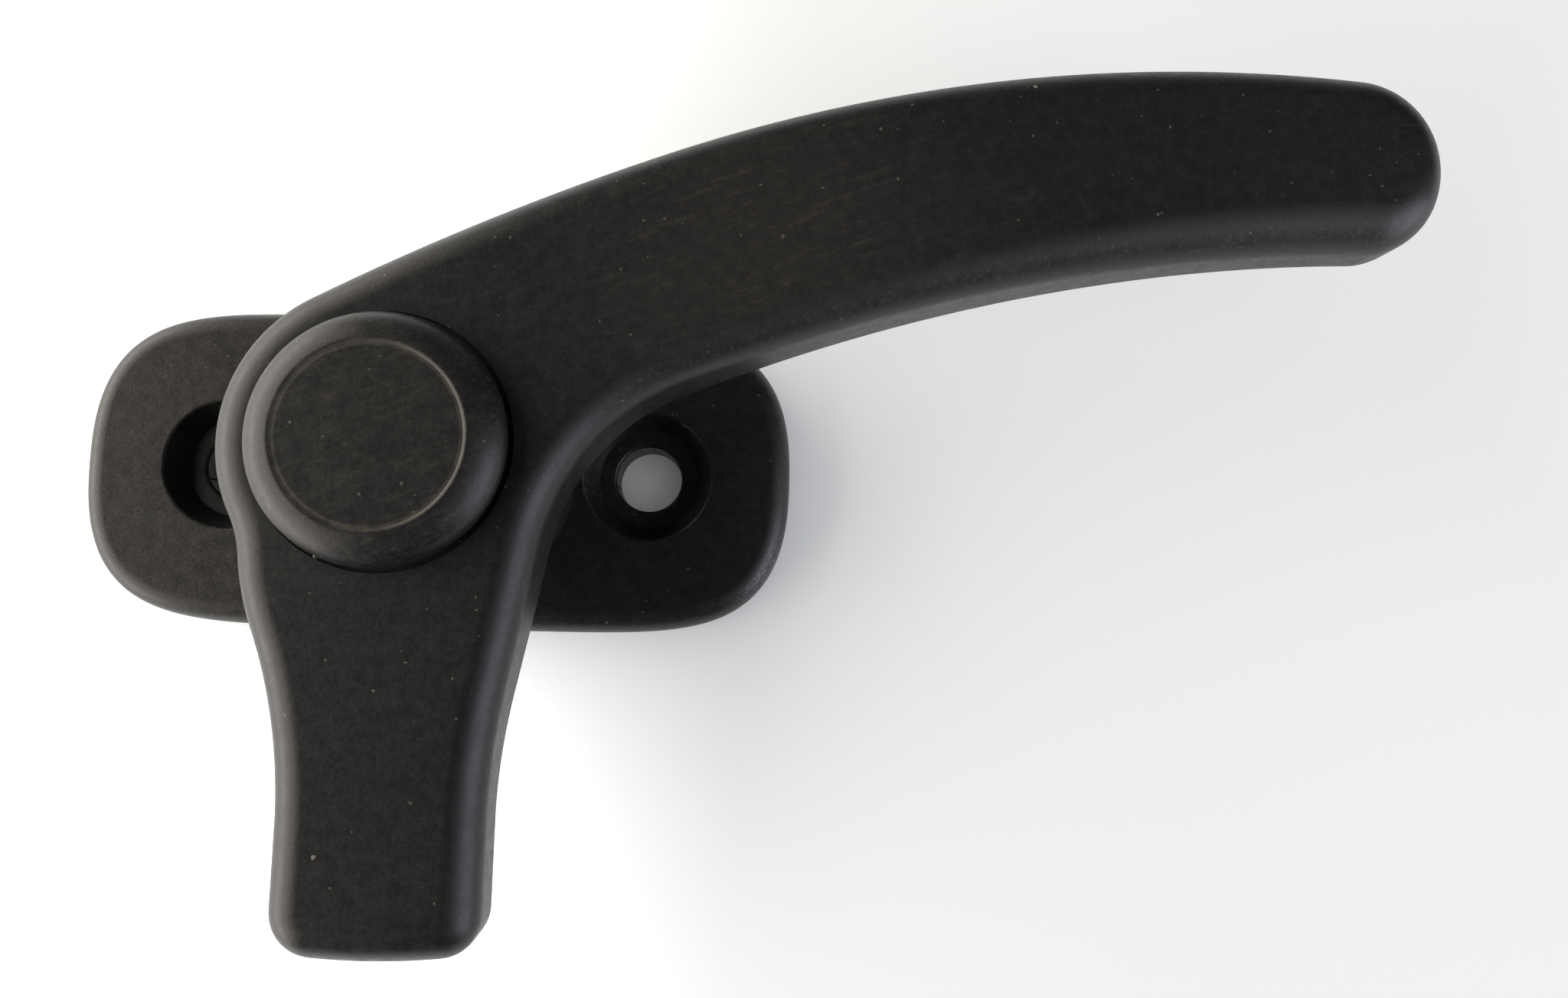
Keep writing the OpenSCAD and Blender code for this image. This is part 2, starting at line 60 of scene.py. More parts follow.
BOLT_R, SLEEVE_R, THRUST_R, THRUST_T, LEDGE_Z = 3.0, 4.5, 7.3, 0.8, 15.1
RUN_CLEAR, PUSH_CLEAR, LOOSE_CLEAR, FREE_GAP = 0.05, 0.05, 0.15, 0.3

# Small forms that only the looks have
BOSS_EDGE_R, FOOT_EDGE_R, HOLE_EDGE_R = 0.35, 0.25, 0.3
SEAT_GROOVE_W, SEAT_GROOVE_DEPTH = 0.28, 0.45
CAP_GAP_DEPTH, CAP_LIP_T, CAP_LIP_EDGE = 0.55, 0.65, 0.40
CAP_DOME_START, CAP_DOME_END = 5, 72
CAP_RING_INSET, CAP_GROOVE_W, CAP_GROOVE_DEPTH = 0.1, 0.18, 0.01
CAP_NIB_ANGLE, CAP_NIB_SIZE, CAP_NIB_SINK = 247, (0.28, 0.22, 0.35), 0.05

# Fineness of the meshes: steps round turned forms, along outlines and over edge rounds
TURN_STEPS, CAP_STEPS, TRACK_STEPS, LUG_STEPS, DOME_STEPS = 128, 192, 64, 16, 24
OUTLINE_TRIES, OUTLINE_STEPS = 4000, 360
EDGE_STEPS, UNDER_STEPS, BOSS_STEPS, FOOT_STEPS = 12, 8, 5, 4
HOLE_TOP_STEPS, HOLE_FLOOR_STEPS = 6, 5
NIB_DIVISIONS = 3
WELD_GAP = 1e-8
SHARP_ANGLE = 25
NORMAL_WEIGHT = 80
# How far a cutting form stands out of what it cuts
OVER = 1.0

# Sizes that follow from those above
HUB_R = HUB_D / 2
BOSS_R = HUB_R - BOSS_STEP
HUB_UNDER_Z = PLATE_T + FREE_GAP
SEAT_Z = PLATE_T + THRUST_T
THRUST_RECESS_R = THRUST_R + FREE_GAP
LUG_MID_R = (THRUST_RECESS_R + BOSS_R) / 2
SKIRT_R = SKIRT_INNER_R + SKIRT_WALL
WELL_R = SKIRT_R + PUSH_CLEAR
BEAD_Z = FACE_H - BEAD_DEPTH
CAP_TOP_Z = FACE_H + CAP_SIDE_H + CAP_DOME_H
CAP_RING_R = CAP_DISC_D / 2 - CAP_RING_INSET


# Plane geometry, in millimetres and degrees
def unit(angle):
    return Vector((math.cos(math.radians(angle)), math.sin(math.radians(angle))))


def direction(v):
    return math.degrees(math.atan2(v.y, v.x))


def arc(centre, r, start, end, n):
    return [centre + r * unit(start + (end - start) * i / n) for i in range(n)]


def line(p, q, n):
    return [p.lerp(q, i / n) for i in range(n)]


def fade(a, b, n):
    """n values that go softly from a towards b."""
    steps = [i / n for i in range(n)]
    return [a + (b - a) * t * t * (3 - 2 * t) for t in steps]


def crossing(c1, r1, c2, r2, side):
    """One of the two crossings of two circles, left (1) or right (-1) of the way from c1 to c2."""
    gap = c2 - c1
    along = (gap.length ** 2 + r1 ** 2 - r2 ** 2) / (2 * gap.length)
    across = math.sqrt(r1 ** 2 - along ** 2)
    u = gap.normalized()
    return c1 + along * u + side * across * Vector((-u.y, u.x))


def resample(points, n):
    """n points at equal steps along a closed outline."""
    closed = points + points[:1]
    lengths = [0.0]
    for p, q in zip(closed, closed[1:]):
        lengths.append(lengths[-1] + (q - p).length)
    result = []
    k = 0
    for i in range(n):
        want = lengths[-1] * i / n
        while lengths[k + 1] < want:
            k += 1
        t = (want - lengths[k]) / (lengths[k + 1] - lengths[k])
        result.append(closed[k].lerp(closed[k + 1], t))
    return result


def inward_normals(loop, turn):
    """Unit normals that point into a closed outline; turn is 1 if it runs counter-clockwise."""
    n = len(loop)
    tangents = [(loop[(i + 1) % n] - loop[i - 1]).normalized() for i in range(n)]
    return [turn * Vector((-t.y, t.x)) for t in tangents]


def round_steps(n):
    """Angles of an edge round in n equal steps."""
    return [90 * i / n for i in range(n + 1)]


def cos(angle):
    return math.cos(math.radians(angle))


def sin(angle):
    return math.sin(math.radians(angle))


# Meshes
def to_object(name, bm):
    bmesh.ops.recalc_face_normals(bm, faces=bm.faces)
    mesh = bpy.data.meshes.new(name)
    bm.to_mesh(mesh)
    bm.free()
    obj = bpy.data.objects.new(name, mesh)
    bpy.context.scene.collection.objects.link(obj)
    return obj


def loft(name, rings, lids):
    """Closed mesh through rings of equally many points; lids list the faces that close both end rings."""
    bm = bmesh.new()
    verts = [[bm.verts.new(Vector(p) * MM) for p in ring] for ring in rings]
    n = len(rings[0])
    for low, high in zip(verts, verts[1:]):
        for i in range(n):
            j = (i + 1) % n
            bm.faces.new((low[i], low[j], high[j], high[i]))
    for lid in lids:
        bm.faces.new([verts[0][i] for i in lid])
        bm.faces.new([verts[-1][i] for i in reversed(lid)])
    return to_object(name, bm)


def revolve(name, profile, steps=TURN_STEPS, start=0, sweep=360):
    """Solid of revolution about the pivot; profile is a closed list of radius and height."""
    bm = bmesh.new()
    whole = sweep == 360
    count = steps if whole else steps + 1
    rows = []
    for i in range(count):
        u = unit(start + sweep * i / steps)
        rows.append([bm.verts.new((r * u.x * MM, r * u.y * MM, z * MM)) for r, z in profile])
    for a, b in zip(rows, rows[1:] + rows[:1] if whole else rows[1:]):
        for k in range(len(profile)):
            m = (k + 1) % len(profile)
            bm.faces.new((a[k], a[m], b[m], b[k]))
    if not whole:
        bm.faces.new(rows[0])
        bm.faces.new(list(reversed(rows[-1])))
    bmesh.ops.remove_doubles(bm, verts=bm.verts, dist=WELD_GAP)
    return to_object(name, bm)


def prism(name, outline, z0, z1):
    rings = [[(p.x, p.y, z) for p in outline] for z in (z0, z1)]
    return loft(name, rings, [list(range(len(outline)))])


def box(name, x0, x1, y0, y1, z0, z1):
    corners = [Vector(p) for p in ((x0, y0), (x1, y0), (x1, y1), (x0, y1))]
    return prism(name, corners, z0, z1)


def moved(obj, x, y, z=0):
    obj.data.transform(Matrix.Translation((x * MM, y * MM, z * MM)))
    return obj


def combine(obj, other, operation):
    """Joins the other solid to obj or cuts it from obj, and takes the other away."""
    change = obj.modifiers.new("change", "BOOLEAN")
    change.operation = operation
    change.solver = "EXACT"
    change.object = other
    graph = bpy.context.evaluated_depsgraph_get()
    result = bpy.data.meshes.new_from_object(obj.evaluated_get(graph))
    obj.modifiers.clear()
    old = obj.data
    obj.data = result
    bpy.data.meshes.remove(old)
    bpy.data.objects.remove(other)


def shade(obj):
    """Smooth shading with crisp edges where the form has them."""
    obj.data.shade_smooth()
    obj.data.set_sharp_from_angle(angle=math.radians(SHARP_ANGLE))
    weighted = obj.modifiers.new("normals", "WEIGHTED_NORMAL")
    weighted.keep_sharp = True
    weighted.weight = NORMAL_WEIGHT


# Lever
def lever_chains():
    """Back and front of the lever as chains of tangent arcs, from the nose's end to the arm's tip."""
    # How many points each stretch of the chains has
    end, corner, blade = 6, 14, 6
    waist_back, shoulder, hollow, waist_front = 20, 14, 12, 24
    hub_arc, root, arm, tip = 72, 16, 72, 32
    waist = waist_back + shoulder + hollow
    hub = hub_arc + root

    hub_c = Vector((0, 0))
    end_c = Vector((NOSE_SHIFT, NOSE_END_R - NOSE_L))
    top_y = BLADE_L - NOSE_L
    back_x = NOSE_SHIFT - NOSE_W / 2
    front_x = NOSE_SHIFT + NOSE_W / 2

    def corner_centre(x, r):
        return Vector((x, end_c.y - math.sqrt((NOSE_END_R - r) ** 2 - (x - end_c.x) ** 2)))

    nose_back_c = corner_centre(back_x + NOSE_BACK_R, NOSE_BACK_R)
    nose_front_c = corner_centre(front_x - NOSE_FRONT_R, NOSE_FRONT_R)
    nose_back_a = direction(nose_back_c - end_c) % 360
    nose_front_a = direction(nose_front_c - end_c) % 360

    waist_back_c = Vector((back_x - WAIST_BACK_R, top_y))
    shoulder_c = waist_back_c + (WAIST_BACK_R + SHOULDER_R) * unit(WAIST_BACK)
    hollow_c = crossing(hub_c, HUB_R + HUB_HOLLOW_R, shoulder_c, SHOULDER_R + HUB_HOLLOW_R, -1)
    shoulder_a = direction(hollow_c - shoulder_c) % 360
    hub_a = direction(hollow_c) % 360
    root_c = -(ARM_ROOT_R - HUB_R) * unit(ARM_LEAVE)
    back_c = root_c + (ARM_ROOT_R - ARM_BACK_R) * unit(ARM_BEND)

    front_c = crossing(back_c + (ARM_BACK_R - ARM_ROOT_W) * unit(ARM_BEND), ARM_FRONT_R,
                       back_c + (ARM_BACK_R - ARM_TIP_W) * unit(ARM_END), ARM_FRONT_R, -1)
    waist_front_c = Vector((front_x + WAIST_FRONT_R, top_y))
    flank_u = unit(90 - WAIST_FRONT)
    flank = waist_front_c + WAIST_FRONT_R * unit(180 - WAIST_FRONT)
    corner_from = flank + CORNER_R * unit(-WAIST_FRONT)
    behind = (corner_from - front_c).dot(flank_u)
    reach = (ARM_FRONT_R - CORNER_R) ** 2 - (corner_from - front_c).length_squared
    flank_l = -behind + math.sqrt(behind ** 2 + reach)
    corner_c = corner_from + flank_l * flank_u
    corner_a = direction(corner_c - front_c)

    tip_back_c = back_c + (ARM_BACK_R - TIP_BACK_R) * unit(ARM_END)
    tip_front_c = crossing(tip_back_c, TIP_BACK_R - TIP_FRONT_R, front_c, ARM_FRONT_R + TIP_FRONT_R, 1)
    tip_a = direction(tip_front_c - tip_back_c)
    front_a = direction(tip_front_c - front_c)

    back = (arc(end_c, NOSE_END_R, 270, nose_back_a, end + 1)[1:]
            + arc(nose_back_c, NOSE_BACK_R, nose_back_a, 180, corner)
            + line(Vector((back_x, nose_back_c.y)), Vector((back_x, top_y)), blade)
            + arc(waist_back_c, WAIST_BACK_R, 0, WAIST_BACK, waist_back)
            + arc(shoulder_c, SHOULDER_R, 180 + WAIST_BACK, shoulder_a, shoulder)
            + arc(hollow_c, HUB_HOLLOW_R, shoulder_a - 180, hub_a - 180, hollow)
            + arc(hub_c, HUB_R, hub_a, ARM_LEAVE, hub_arc)
            + arc(root_c, ARM_ROOT_R, ARM_LEAVE, ARM_BEND, root)
            + arc(back_c, ARM_BACK_R, ARM_BEND, ARM_END, arm)
            + arc(tip_back_c, TIP_BACK_R, ARM_END, tip_a, tip))
    front = (arc(end_c, NOSE_END_R, 270, nose_front_a, end + 1)[1:]
             + arc(nose_front_c, NOSE_FRONT_R, nose_front_a, 360, corner)
             + line(Vector((front_x, nose_front_c.y)), Vector((front_x, top_y)), blade)
             + arc(waist_front_c, WAIST_FRONT_R, 180, 180 - WAIST_FRONT, waist_front)
             + line(flank, flank + flank_l * flank_u, waist - waist_front)
             + arc(corner_c, CORNER_R, 180 - WAIST_FRONT, corner_a, hub)
             + arc(front_c, ARM_FRONT_R, corner_a, front_a, arm)
             + arc(tip_front_c, TIP_FRONT_R, front_a + 180, tip_a + 360, tip))

    nose = end + corner + blade
    thick = [NOSE_T] * nose + fade(NOSE_T, ARM_T, waist) + [ARM_T] * (hub + arm + tip)
    under = ([UNDER_EDGE_R] * (nose + waist + hub) + fade(UNDER_EDGE_R, TIP_UNDER_R, arm)
             + [TIP_UNDER_R] * tip)
    back_edge = [LEVER_EDGE_R] * (len(back) - tip) + fade(LEVER_EDGE_R, TIP_EDGE_R, tip)
    front_edge = ([LEVER_EDGE_R] * (nose + waist + hub) + fade(LEVER_EDGE_R, TIP_EDGE_R, arm)
                  + [TIP_EDGE_R] * tip)
    return back, front, thick, under, back_edge, front_edge


def build_lever():
    back, front, thick, under, back_edge, front_edge = lever_chains()
    loop = back + front[::-1]
    thick = thick + thick[::-1]
    under = under + under[::-1]
    edge = back_edge + front_edge[::-1]
    n = len(loop)
    inward = inward_normals(loop, -1)
    rings = []
    for a in round_steps(UNDER_STEPS):
        rings.append([(*(loop[i] + under[i] * (1 - sin(a)) * inward[i]),
                       FACE_H - thick[i] + under[i] * (1 - cos(a))) for i in range(n)])
    for a in round_steps(EDGE_STEPS):
        rings.append([(*(loop[i] + edge[i] * (1 - cos(a)) * inward[i]),
                       FACE_H - edge[i] * (1 - sin(a))) for i in range(n)])
    rungs = [[i, i + 1, n - 2 - i, n - 1 - i] for i in range(n // 2 - 1)]
    lever = loft("lever_shell", rings, rungs)

    boss_top = FACE_H - NOSE_T
    boss = [(0, HUB_UNDER_Z)]
    boss += [(BOSS_R - BOSS_EDGE_R * (1 - sin(a)), HUB_UNDER_Z + BOSS_EDGE_R * (1 - cos(a)))
             for a in round_steps(BOSS_STEPS)]
    boss += [(BOSS_R, boss_top), (0, boss_top)]
    combine(lever, revolve("boss", boss), "UNION")

    # Bore for the sleeve, with the thrust washer's seat below and the cap's well above
    slope = 2 * BEAD_H
    bore_r = SLEEVE_R + RUN_CLEAR
    low = HUB_UNDER_Z - OVER
    high = FACE_H + OVER
    combine(lever, revolve("bore", [
        (0, low), (THRUST_RECESS_R, low), (THRUST_RECESS_R, SEAT_Z), (bore_r, SEAT_Z), (bore_r, LEDGE_Z),
        (WELL_R, LEDGE_Z), (WELL_R, BEAD_Z - slope), (WELL_R + BEAD_H, BEAD_Z), (WELL_R, BEAD_Z + slope),
        (WELL_R, high), (0, high)]), "DIFFERENCE")

    # Dark line round the cap's seat
    groove_in = CAP_D / 2 - CAP_GAP_DEPTH
    groove_out = CAP_D / 2 + SEAT_GROOVE_W
    groove_z = FACE_H - SEAT_GROOVE_DEPTH
    groove = [(groove_in, groove_z), (groove_out, groove_z), (groove_out, high), (groove_in, high)]
    combine(lever, revolve("seat_groove", groove, steps=CAP_STEPS), "DIFFERENCE")

    # Track that the plate's lug runs in
    half_track = LUG_W / 2 + FREE_GAP
    track_top = HUB_UNDER_Z + LUG_H
    spread = LUG_ANGLE / 2 + STOP_SPARE
    combine(lever, revolve("track", [
        (LUG_MID_R - half_track, low), (LUG_MID_R + half_track, low),
        (LUG_MID_R + half_track, track_top), (LUG_MID_R - half_track, track_top)],
        steps=TRACK_STEPS, start=-spread - OPEN_ANGLE, sweep=2 * spread + OPEN_ANGLE), "DIFFERENCE")
    shade(lever)
    return lever


# Base plate
def plate_outline():
    """Oblong with bowed sides: a superellipse with one power for its ends and another for its sides."""
    a, b = PLATE_L / 2, PLATE_W / 2
    fine = []
    for i in range(OUTLINE_TRIES):
        t = 360 * i / OUTLINE_TRIES
        c, s = cos(t), sin(t)
        fine.append(Vector((math.copysign(a * abs(c) ** (2 / PLATE_END_POWER), c),
                            math.copysign(b * abs(s) ** (2 / PLATE_SIDE_POWER), s))))
    return resample(fine, OUTLINE_STEPS)


def build_plate():
    outline = plate_outline()
    inward = inward_normals(outline, 1)
    rings = []
    for a in round_steps(FOOT_STEPS):
        rings.append([(*(p + FOOT_EDGE_R * (1 - sin(a)) * u), FOOT_EDGE_R * (1 - cos(a)))
                      for p, u in zip(outline, inward)])
    for a in round_steps(EDGE_STEPS):
        rings.append([(*(p + PLATE_EDGE_R * (1 - cos(a)) * u), PLATE_T - PLATE_EDGE_R * (1 - sin(a)))
                      for p, u in zip(outline, inward)])
    plate = loft("base_plate_shell", rings, [list(range(len(outline)))])

    # Hollow back with ribs and posts
    hollow_h = PLATE_T - PLATE_SKIN
    rib_h = hollow_h + PLATE_SKIN / 2
    pocket_r = (HEX_AF + 2 * LOOSE_CLEAR) / math.sqrt(3)
    rim_end = PLATE_W / 2 - PLATE_RIM / 2
    inner = [p + PLATE_RIM * u for p, u in zip(outline, inward)]
    combine(plate, prism("hollow", inner, -OVER, hollow_h), "DIFFERENCE")
    hole_x = HOLE_SPACING / 2
    boss_r = HEAD_D / 2 + HOLE_WALL
    for x, r in ((-hole_x, boss_r), (0, pocket_r + POCKET_WALL), (hole_x, boss_r)):
        post = revolve("post", [(0, 0), (r, 0), (r, rib_h), (0, rib_h)])
        combine(plate, moved(post, x, 0), "UNION")
        combine(plate, box("rib", x - RIB_T / 2, x + RIB_T / 2, -rim_end, rim_end, 0, rib_h), "UNION")
    combine(plate, box("spine", -hole_x, hole_x, -RIB_T / 2, RIB_T / 2, 0, rib_h), "UNION")

    lug_in, lug_out = LUG_MID_R - LUG_W / 2, LUG_MID_R + LUG_W / 2
    lug_top = PLATE_T + LUG_H
    lug = [(lug_in, rib_h), (lug_out, rib_h), (lug_out, lug_top), (lug_in, lug_top)]
    combine(plate, revolve("lug", lug, steps=LUG_STEPS, start=-LUG_ANGLE / 2, sweep=LUG_ANGLE), "UNION")

    # Screw holes with tapered recesses for the heads
    floor_z = PLATE_T - HEAD_DEPTH
    hole_r, head_r = HOLE_D / 2, HEAD_D / 2
    bore = [(0, -OVER), (hole_r, -OVER), (hole_r, floor_z - HOLE_EDGE_R)]
    bore += [(hole_r + HOLE_EDGE_R * (1 - cos(a)), floor_z - HOLE_EDGE_R * (1 - sin(a)))
             for a in round_steps(HOLE_FLOOR_STEPS)[1:]]
    bore += [(HEAD_FLOOR_D / 2, floor_z)]
    bore += [(head_r + HOLE_EDGE_R * (1 - cos(a)), PLATE_T - HOLE_EDGE_R * (1 - sin(a)))
             for a in round_steps(HOLE_TOP_STEPS)]
    bore += [(head_r + HOLE_EDGE_R, PLATE_T + OVER), (0, PLATE_T + OVER)]
    for x in (-hole_x, hole_x):
        combine(plate, moved(revolve("screw_hole", bore), x, 0), "DIFFERENCE")

    # Bolt hole and the pocket for the bolt's head
    bolt_r = BOLT_R + PUSH_CLEAR
    combine(plate, revolve("bolt_hole", [(0, -OVER), (bolt_r, -OVER), (bolt_r, PLATE_T + OVER),
                                         (0, PLATE_T + OVER)]), "DIFFERENCE")
    hexagon = [pocket_r * unit(60 * i) for i in range(6)]
    combine(plate, prism("pocket", hexagon, -OVER, BOLT_SINK + BOLT_HEAD_H), "DIFFERENCE")
    shade(plate)
    return plate


# Cap
def build_cap():
    crest_r = CAP_DISC_D / 2 + CAP_CREST
    rim_r = CAP_D / 2
    rim_z = FACE_H + CAP_SIDE_H
    dome_w = (rim_r - crest_r) / (cos(CAP_DOME_START) - cos(CAP_DOME_END))
    dome_h = CAP_DOME_H / (sin(CAP_DOME_END) - sin(CAP_DOME_START))
    disc_z = CAP_TOP_Z - CAP_DISC_SINK
    ceiling_z = disc_z - CAP_TOP_T
    skirt_z = FACE_H - SKIRT_DEPTH
    slope = 2 * BEAD_H
    profile = [
        (0, ceiling_z), (SKIRT_INNER_R, ceiling_z), (SKIRT_INNER_R, skirt_z), (SKIRT_R - slope, skirt_z),
        (SKIRT_R, skirt_z + slope), (SKIRT_R, BEAD_Z - slope), (SKIRT_R + BEAD_H, BEAD_Z),
        (SKIRT_R, BEAD_Z + slope), (SKIRT_R, FACE_H)]
    # Shadow gap under the rim
    gap_r = rim_r - CAP_GAP_DEPTH
    profile += [(gap_r, FACE_H), (gap_r, rim_z - CAP_LIP_T), (rim_r, rim_z - CAP_LIP_EDGE)]
    for k in range(DOME_STEPS + 1):
        a = CAP_DOME_START + (CAP_DOME_END - CAP_DOME_START) * k / DOME_STEPS
        profile.append((rim_r - dome_w * (cos(CAP_DOME_START) - cos(a)),
                        rim_z + dome_h * (sin(a) - sin(CAP_DOME_START))))
    # Fine groove round the disc
    profile += [
        (CAP_RING_R + CAP_GROOVE_W, CAP_TOP_Z - CAP_GROOVE_DEPTH), (CAP_RING_R, disc_z - CAP_GROOVE_DEPTH),
        (CAP_RING_R - CAP_GROOVE_W, disc_z), (0, disc_z)]
    cap = revolve("cap_shell", profile, steps=CAP_STEPS)

    # Small nib where the moulding was cut from its runner
    nib = bmesh.new()
    bmesh.ops.create_icosphere(nib, subdivisions=NIB_DIVISIONS, radius=1)
    bmesh.ops.scale(nib, verts=nib.verts, vec=Vector(CAP_NIB_SIZE) * MM)
    nib_place = (rim_r - CAP_NIB_SINK) * unit(CAP_NIB_ANGLE)
    nib_piece = moved(to_object("gate_nib", nib), nib_place.x, nib_place.y, rim_z - CAP_NIB_SINK)
    combine(cap, nib_piece, "UNION")
    shade(cap)
    return cap


# Materials
class Nodes:
    """A material with an empty node tree, its own coordinates in metres and short helpers."""

    def __init__(self, name):
        self.material = bpy.data.materials.new(name)
        self.material.use_nodes = True
        self.tree = self.material.node_tree
        self.tree.nodes.clear()
        self.surface = self.tree.nodes.new("ShaderNodeOutputMaterial").inputs["Surface"]
        self.place = self.tree.nodes.new("ShaderNodeTexCoord").outputs["Object"]

    def put(self, value, socket):
        """Links a node's output to a socket, or sets the socket to a plain value."""
        if isinstance(value, bpy.types.NodeSocket):
            self.tree.links.new(value, socket)
        else:
            socket.default_value = value

    def math(self, operation, a, b=0.5):
        node = self.tree.nodes.new("ShaderNodeMath")
        node.operation = operation
        self.put(a, node.inputs[0])
        self.put(b, node.inputs[1])
        return node.outputs[0]

    def times(self, a, b):
        return self.math("MULTIPLY", a, b)

    def vector(self, operation, *values):
        """The node of a calculation with vectors."""
        node = self.tree.nodes.new("ShaderNodeVectorMath")
        node.operation = operation
        for value, socket in zip(values, node.inputs):
            self.put(value, socket)
        return node

    def axis(self, value, name):
        """One of a vector's three numbers."""
        node = self.tree.nodes.new("ShaderNodeSeparateXYZ")
        self.put(value, node.inputs[0])
        return node.outputs[name]

    def span(self, value, low, high, out_low=0.0, out_high=1.0):
        """Maps a range of a value to another range, with soft ends."""
        node = self.tree.nodes.new("ShaderNodeMapRange")
        node.interpolation_type = "SMOOTHSTEP"
        for socket, number in zip(node.inputs[1:5], (low, high, out_low, out_high)):
            socket.default_value = number
        self.put(value, node.inputs[0])
        return node.outputs[0]

    def mix(self, factor, a, b):
        """Blends two colours, each a node's output or three plain numbers."""
        node = self.tree.nodes.new("ShaderNodeMix")
        node.data_type = "RGBA"
        self.put(factor, node.inputs["Factor"])
        for value, socket in ((a, node.inputs["A"]), (b, node.inputs["B"])):
            self.put(value if isinstance(value, bpy.types.NodeSocket) else (*value, 1), socket)
        return node.outputs["Result"]


class Finish(Nodes):
    """A surface with a Principled shader and the patterns that its finish is made of."""

    def __init__(self, name, roughness, metallic=0.0, ior=1.5):
        super().__init__(name)
        self.shader = self.tree.nodes.new("ShaderNodeBsdfPrincipled")
        self.shader.inputs["Roughness"].default_value = roughness
        self.shader.inputs["Metallic"].default_value = metallic
        self.shader.inputs["IOR"].default_value = ior
        self.put(self.shader.outputs["BSDF"], self.surface)

    def stretched(self, scale, angle=0, shift=(0, 0, 0)):
        """Coordinates in which a pattern comes out longer by scale along axes turned by angle."""
        node = self.tree.nodes.new("ShaderNodeMapping")
        node.vector_type = "TEXTURE"
        node.inputs["Scale"].default_value = scale
        node.inputs["Rotation"].default_value = (0, 0, math.radians(angle))
        node.inputs["Location"].default_value = shift
        self.put(self.place, node.inputs["Vector"])
        return node.outputs[0]

    def noise(self, scale, detail=3.0, roughness=0.55, place=None, output="Fac"):
        """A noise pattern with about scale waves in a metre."""
        node = self.tree.nodes.new("ShaderNodeTexNoise")
        node.inputs["Scale"].default_value = scale
        node.inputs["Detail"].default_value = detail
        node.inputs["Roughness"].default_value = roughness
        self.put(place or self.place, node.inputs["Vector"])
        return node.outputs[output]

    def cells(self, scale, place, output="Distance"):
        """A pattern of cells, about scale of them in a metre."""
        node = self.tree.nodes.new("ShaderNodeTexVoronoi")
        node.inputs["Scale"].default_value = scale
        self.put(place, node.inputs["Vector"])
        return node.outputs[output]

    def warped(self, place, scale, amount):
        """Coordinates that noise pushes about, by up to amount millimetres."""
        push = self.noise(scale, 1, 0.5, place, "Color")
        return self.vector("MULTIPLY_ADD", push, Vector((amount, amount, amount)) * MM, place).outputs[0]

    def near(self, point, inner, outer):
        """1 within inner millimetres of a point, 0 beyond outer."""
        away = self.vector("DISTANCE", self.place, Vector(point) * MM).outputs["Value"]
        return self.span(away, inner * MM, outer * MM, 1, 0)

    def ring(self, r, core, width):
        """1 within core millimetres of a circle round the pivot, 0 beyond width."""
        flat = self.vector("MULTIPLY", self.place, (1, 1, 0)).outputs[0]
        out = self.vector("LENGTH", flat).outputs["Value"]
        off = self.math("ABSOLUTE", self.math("SUBTRACT", out, r * MM))
        return self.span(off, core * MM, width * MM, 1, 0)

    def along_x(self, start, end, out_start, out_end):
        """Goes from one value to another between two places along X, in millimetres."""
        return self.span(self.axis(self.place, "X"), start * MM, end * MM, out_start, out_end)

    def facing_up(self, low, high):
        """0 where the surface's normal rises less than low, 1 where it rises more than high."""
        normal = self.tree.nodes.new("ShaderNodeNewGeometry").outputs["Normal"]
        return self.span(self.axis(normal, "Z"), low, high)

    def bump(self, height, depth, strength):
        """Surface relief of a depth in millimetres, on top of any that is there."""
        node = self.tree.nodes.new("ShaderNodeBump")
        node.inputs["Strength"].default_value = strength
        node.inputs["Distance"].default_value = depth * MM
        self.put(height, node.inputs["Height"])
        normal = self.shader.inputs["Normal"]
        if normal.is_linked:
            self.put(normal.links[0].from_socket, node.inputs["Normal"])
        self.put(node.outputs["Normal"], normal)

    def colour(self, value):
        self.put(value, self.shader.inputs["Base Color"])

    def roughness(self, value):
        self.put(value, self.shader.inputs["Roughness"])


# Black moulding: colours, waves of its patterns in a metre, reaches in millimetres and strengths
BLACK, BLACK_WARM = (0.0090, 0.0089, 0.0089), (0.0128, 0.0122, 0.0116)
DUST, RING_DUST = (0.105, 0.096, 0.084), (0.120, 0.113, 0.085)
# The second of these colours is for rubbed edge rounds and the painted glints on them
SPECK, SCUFF_GLINT = (0.40, 0.39, 0.34), (0.30, 0.31, 0.34)
MOULDING_IOR, ROUGH_MEAN, ROUGH_RANGE = 1.42, 0.42, (0.36, 0.46)
CLOUD_WAVES, MOTTLE_WAVES, GRAIN_WAVES, FINE_WAVES = 60, 900, 3000, 6500
STREAK_WAVES, STREAK_STRETCH = 3200, (9, 1, 1)
SCRATCH_WAVES, SCRATCHED_WAVES = 210, 130
# Lighter patch on the lever's top near the arm: centre, reaches and strength
PALE_PATCH_POINT, PALE_PATCH_REACH, PALE_PATCH_LEVEL = (26, 16, FACE_H), (2, 22), 0.19
# Spot of scuffs and painted glints on the plate's corner round
SCUFF_GLINT_POINT, SCUFF_GLINT_REACH, SCUFF_GLINT_LEVEL = (26.2, -7.2, 5.7), (0.3, 4.6), 0.45
# The plate's dust thins between these X places, in millimetres, down to this share: painted shade on the
# plate's right end, under the lever
SHADE_FADE_X, SHADE_FADE_LEVEL = (-10, 12), 0.25
# Strength of scratches, and of rubbed edges with painted glints
SCRATCH_LEVEL, RUBBED_GLINT_LEVEL = 0.11, 0.06
RING_CORE, RING_W = 0.09, 0.30
GRAIN_DEPTH, GRAIN_STRENGTH, FINE_DEPTH, FINE_STRENGTH = 0.020, 0.6, 0.008, 0.5
# Small and large specks: cells in a metre, largest size, share of empty cells and strength
SPECK_KINDS = ((1100, 0.105, 0.50, 0.20), (220, 0.036, 0.55, 0.45))
SPECK_FULL, SPECK_WARP_WAVES, SPECK_WARP = 0.80, 2600, 0.3
